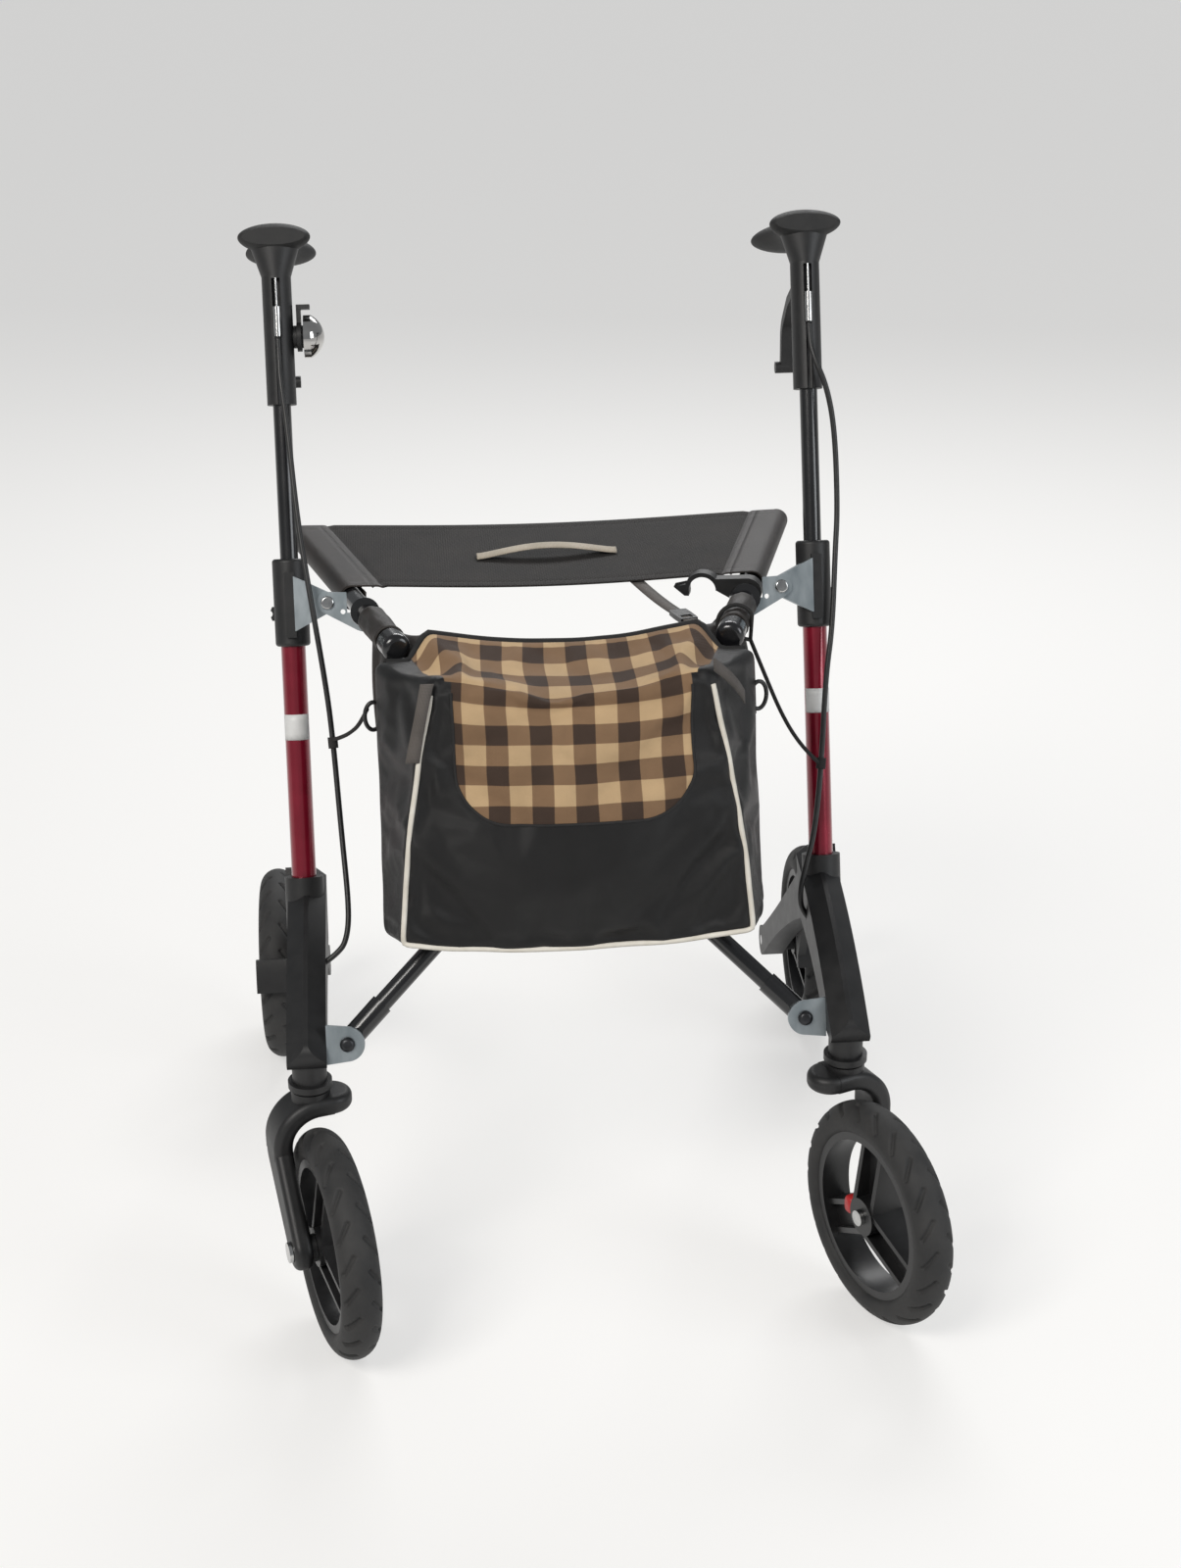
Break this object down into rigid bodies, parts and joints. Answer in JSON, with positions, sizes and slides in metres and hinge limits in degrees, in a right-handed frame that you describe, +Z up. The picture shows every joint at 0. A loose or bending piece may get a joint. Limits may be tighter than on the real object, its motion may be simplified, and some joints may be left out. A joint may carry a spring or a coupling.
{
  "type": "rollator walking frame",
  "caption": "Folding four-wheeled walking frame with web seat, height-adjustable handles, brake levers, swivelling front wheels, a bell and a front bag.",
  "frame": {"origin": "floor level, at the middle of the object's width and length in the pictured pose", "axes": "+Z up; -Y is the front, where the bag hangs; +X is the user's left, seen by a user who stands at +Y and faces -Y"},
  "size_m": [0.6107, 0.7436, 0.9041],
  "materials": {
    "crimson_tube": "metallic lacquer",
    "moulded_black": "fine texture",
    "soft_grip": "soft matte",
    "black_tube": "gloss powder coat",
    "zinc": "zinc plated",
    "bright_steel": "bright",
    "dark_bolt": "black oxide",
    "cable_black": "satin",
    "wheel_black": "satin",
    "tyre_grey": "worn rubber",
    "seat_mesh": "woven mesh",
    "sand_strap": "woven tape",
    "bag_cloth": "nylon",
    "bell_chrome": "polished"
  },
  "bodies": {
    "right_side": {"right_frame_tube": "crimson_tube", "right_lower_leg": "moulded_black", "right_clamp_collar": "moulded_black", "right_hinge_bracket": "zinc", "right_hinge_plate": "zinc", "right_pivot_bolt": "dark_bolt", "right_rivet": "bright_steel", "right_rear_axle": "bright_steel", "right_brake_cable": "cable_black"},
    "right_handle": {"right_handle_tube": "black_tube", "right_handle_body": "moulded_black", "right_grip": "soft_grip", "right_cable_adjuster": "bright_steel", "bell_base": "moulded_black", "bell_dome": "bell_chrome"},
    "right_lever": {"right_brake_lever": "moulded_black"},
    "right_brake": {"right_brake_shoe": "moulded_black"},
    "right_rest": {"right_seat_rest": "zinc"},
    "right_knob": {"right_clamp_knob": "moulded_black"},
    "right_caster": {"right_fork": "moulded_black", "right_front_axle": "bright_steel"},
    "right_front_wheel": {"right_front_hub": "wheel_black", "right_front_tyre": "tyre_grey"},
    "right_rear_wheel": {"right_rear_hub": "wheel_black", "right_rear_tyre": "tyre_grey"},
    "left_side": {"left_frame_tube": "crimson_tube", "left_lower_leg": "moulded_black", "left_clamp_collar": "moulded_black", "left_hinge_bracket": "zinc", "left_hinge_plate": "zinc", "left_pivot_bolt": "dark_bolt", "left_rivet": "bright_steel", "left_rear_axle": "bright_steel", "left_brake_cable": "cable_black"},
    "left_handle": {"left_handle_tube": "black_tube", "left_handle_body": "moulded_black", "left_grip": "soft_grip", "left_cable_adjuster": "bright_steel"},
    "left_lever": {"left_brake_lever": "moulded_black"},
    "left_brake": {"left_brake_shoe": "moulded_black"},
    "left_rest": {"left_seat_rest": "zinc"},
    "left_knob": {"left_clamp_knob": "moulded_black"},
    "left_caster": {"left_fork": "moulded_black", "left_front_axle": "bright_steel"},
    "left_front_wheel": {"left_front_hub": "wheel_black", "left_front_tyre": "tyre_grey"},
    "left_rear_wheel": {"left_rear_hub": "wheel_black", "left_rear_tyre": "tyre_grey"},
    "bell_thumb": {"bell_lever": "moulded_black"},
    "front_brace_tube": {"front_brace": "black_tube", "left_seat_tube": "black_tube", "centre_pivot": "dark_bolt"},
    "rear_brace_tube": {"rear_brace": "black_tube", "right_seat_tube": "black_tube"},
    "cloth": {"seat_web": "seat_mesh", "pull_strap": "sand_strap", "bag": "bag_cloth", "left_tie": "cable_black", "right_tie": "cable_black"},
    "hook": {"lock_hook": "moulded_black"}
  },
  "joints": [
    {"name": "fold", "type": "hinge", "parent": "right_side", "child": "front_brace_tube", "pos_m": [-0.199, -0.21133, 0.26166], "axis": [0, -0.9558, 0.294], "range_deg": [0, 40.4], "deforming": ["seat_web", "pull_strap", "bag", "left_tie", "right_tie"]},
    {"name": "cross", "type": "hinge", "parent": "front_brace_tube", "child": "rear_brace_tube", "pos_m": [0, -0.09503, 0.43211], "axis": [0, -0.9558, 0.294], "range_deg": [-80.8, 0]},
    {"name": "left_fold", "type": "hinge", "parent": "rear_brace_tube", "child": "left_side", "pos_m": [0.199, -0.19413, 0.25637], "axis": [0, -0.9558, 0.294], "range_deg": [0, 40.4]},
    {"name": "cloth_lift", "type": "slide", "parent": "right_side", "child": "cloth", "axis": [-0.7554, 0.1927, 0.6263], "range_m": [0, 0.23195]},
    {"name": "right_rest_swing", "type": "hinge", "parent": "right_side", "child": "right_rest", "pos_m": [-0.203, -0.00023, 0.58906], "axis": [0, -0.9558, 0.294], "range_deg": [-68.68, 0]},
    {"name": "right_height", "type": "slide", "parent": "right_side", "child": "right_handle", "axis": [0, 0.294, 0.9558], "range_m": [-0.09, 0.04], "deforming": ["right_brake_cable"]},
    {"name": "right_squeeze", "type": "hinge", "parent": "right_handle", "child": "right_lever", "pos_m": [-0.236, 0.11023, 0.83757], "axis": [1, 0, 0], "range_deg": [0, 14], "stiffness_Nm_per_rad": 1},
    {"name": "right_shoe", "type": "hinge", "parent": "right_side", "child": "right_brake", "pos_m": [-0.254, 0.15, 0.187], "axis": [1, 0, 0], "range_deg": [0, 3]},
    {"name": "right_clamp", "type": "hinge", "parent": "right_side", "child": "right_knob", "pos_m": [-0.244, 0.03583, 0.56855], "axis": [0, 0.9558, -0.294], "range_deg": [0, 360]},
    {"name": "right_swivel", "type": "hinge", "parent": "right_side", "child": "right_caster", "pos_m": [-0.233, -0.216, 0.22], "axis": [0, 0, 1], "continuous": true},
    {"name": "right_front_roll", "type": "hinge", "parent": "right_caster", "child": "right_front_wheel", "pos_m": [-0.21684, -0.27274, 0.1], "axis": [0.9617, 0.274, 0], "continuous": true},
    {"name": "right_rear_roll", "type": "hinge", "parent": "right_side", "child": "right_rear_wheel", "pos_m": [-0.284, 0.274, 0.1], "axis": [1, 0, 0], "continuous": true},
    {"name": "left_rest_swing", "type": "hinge", "parent": "left_side", "child": "left_rest", "pos_m": [0.203, -0.00023, 0.58906], "axis": [0, -0.9558, 0.294], "range_deg": [0, 68.68]},
    {"name": "left_height", "type": "slide", "parent": "left_side", "child": "left_handle", "axis": [0, 0.294, 0.9558], "range_m": [-0.09, 0.04], "deforming": ["left_brake_cable"]},
    {"name": "left_squeeze", "type": "hinge", "parent": "left_handle", "child": "left_lever", "pos_m": [0.236, 0.11023, 0.83757], "axis": [1, 0, 0], "range_deg": [0, 14], "stiffness_Nm_per_rad": 1},
    {"name": "left_shoe", "type": "hinge", "parent": "left_side", "child": "left_brake", "pos_m": [0.254, 0.15, 0.187], "axis": [1, 0, 0], "range_deg": [0, 3]},
    {"name": "left_clamp", "type": "hinge", "parent": "left_side", "child": "left_knob", "pos_m": [0.244, 0.03583, 0.56855], "axis": [0, 0.9558, -0.294], "range_deg": [0, 360]},
    {"name": "left_swivel", "type": "hinge", "parent": "left_side", "child": "left_caster", "pos_m": [0.233, -0.216, 0.22], "axis": [0, 0, 1], "continuous": true},
    {"name": "left_front_roll", "type": "hinge", "parent": "left_caster", "child": "left_front_wheel", "pos_m": [0.25586, -0.27039, 0.1], "axis": [0.9219, 0.3875, 0], "continuous": true},
    {"name": "left_rear_roll", "type": "hinge", "parent": "left_side", "child": "left_rear_wheel", "pos_m": [0.284, 0.274, 0.1], "axis": [1, 0, 0], "continuous": true},
    {"name": "bell_press", "type": "hinge", "parent": "right_handle", "child": "bell_thumb", "pos_m": [-0.218, 0.0964, 0.80625], "axis": [1, 0, 0], "range_deg": [0, 25], "stiffness_Nm_per_rad": 0.05},
    {"name": "hook_turn", "type": "hinge", "parent": "front_brace_tube", "child": "hook", "pos_m": [0.17589, 0.01898, 0.57998], "axis": [0.2588, 0.9659, 0], "range_deg": [0, 95]}
  ],
  "couplings": [
    {"joint": "cross", "follows": "fold", "ratio": -2},
    {"joint": "left_fold", "follows": "fold", "ratio": 1},
    {"joint": "cloth_lift", "follows": "fold", "m_per_rad": 0.32895},
    {"joint": "left_rest_swing", "follows": "fold", "ratio": 1.7},
    {"joint": "right_rest_swing", "follows": "fold", "ratio": -1.7},
    {"joint": "left_shoe", "follows": "left_squeeze", "ratio": 0.21429},
    {"joint": "right_shoe", "follows": "right_squeeze", "ratio": 0.21429}
  ]
}
